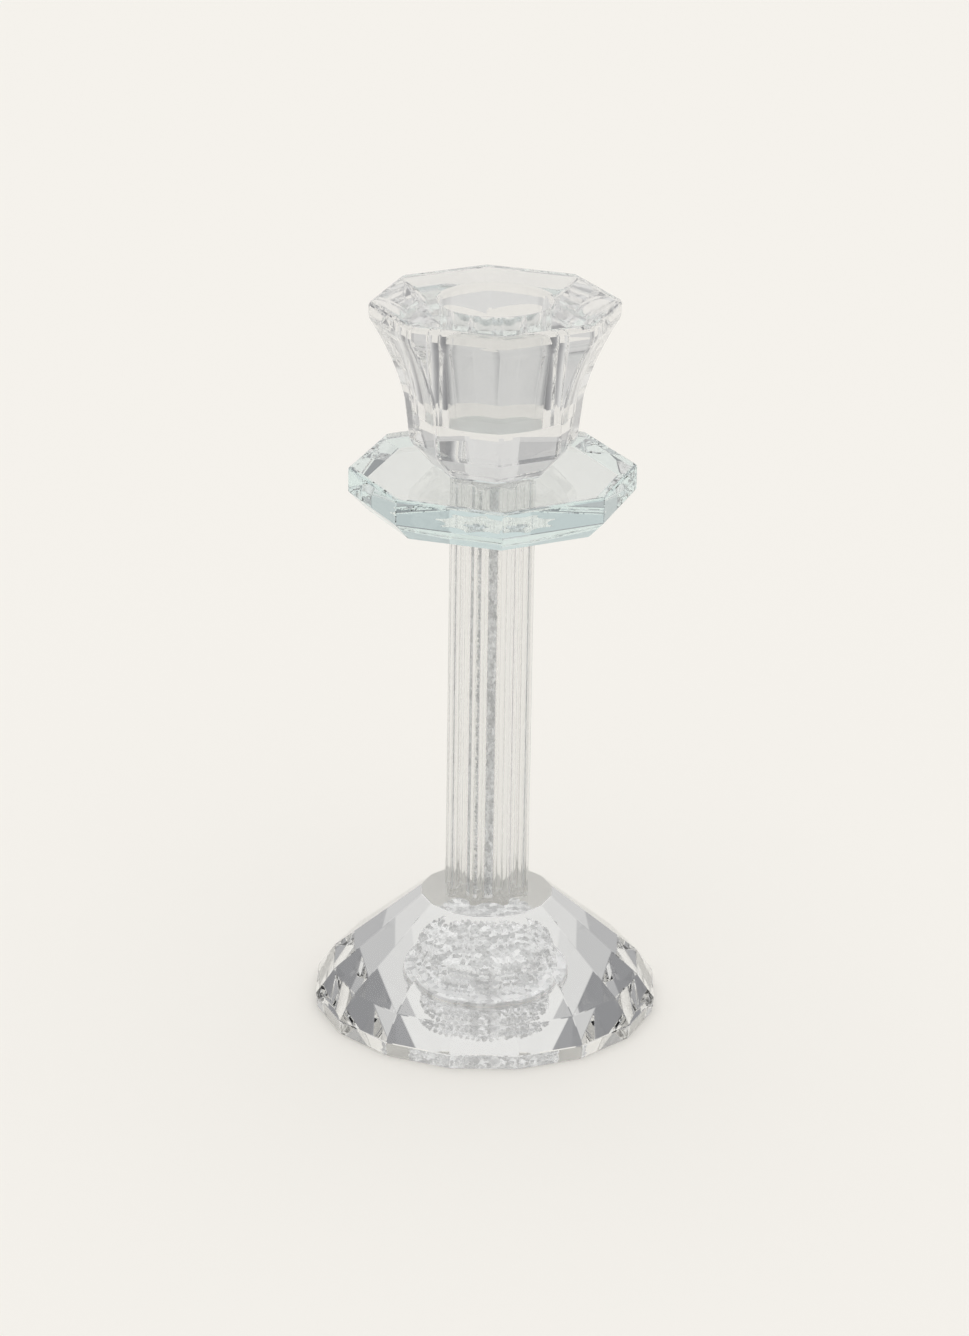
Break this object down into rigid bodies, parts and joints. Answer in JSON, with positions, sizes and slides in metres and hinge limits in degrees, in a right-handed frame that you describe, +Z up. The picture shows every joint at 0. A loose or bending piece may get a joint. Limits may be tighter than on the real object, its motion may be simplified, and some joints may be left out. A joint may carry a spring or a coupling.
{
  "type": "glass candlestick",
  "caption": "Cut glass candlestick: faceted base and fluted stem filled with crystal chips, octagonal drip plate and flared cup that holds a household candle.",
  "frame": {"origin": "centre of the base's resting face", "axes": "+Z up along the stem, towards the mouth of the candle cup; a base facet faces -Y"},
  "size_m": [0.0694, 0.0694, 0.1498],
  "materials": {
    "base_glass": "polished facets",
    "plug_glass": "satin, speckled by the chips above it",
    "stem_glass": "fire polished",
    "plate_glass": "polished, faint green edge",
    "cup_glass": "polished, satin bore",
    "crystal_chips": "bright broken chips",
    "adhesive": "clear"
  },
  "bodies": {
    "root": {"base_block": "base_glass", "base_crystals": "crystal_chips", "base_plug": "plug_glass", "plug_bond": "adhesive", "stem_foot_bond": "adhesive", "stem_tube": "stem_glass", "stem_crystals": "crystal_chips", "stem_top_bond": "adhesive", "drip_plate": "plate_glass", "cup_bond": "adhesive", "candle_cup": "cup_glass"}
  },
  "joints": []
}
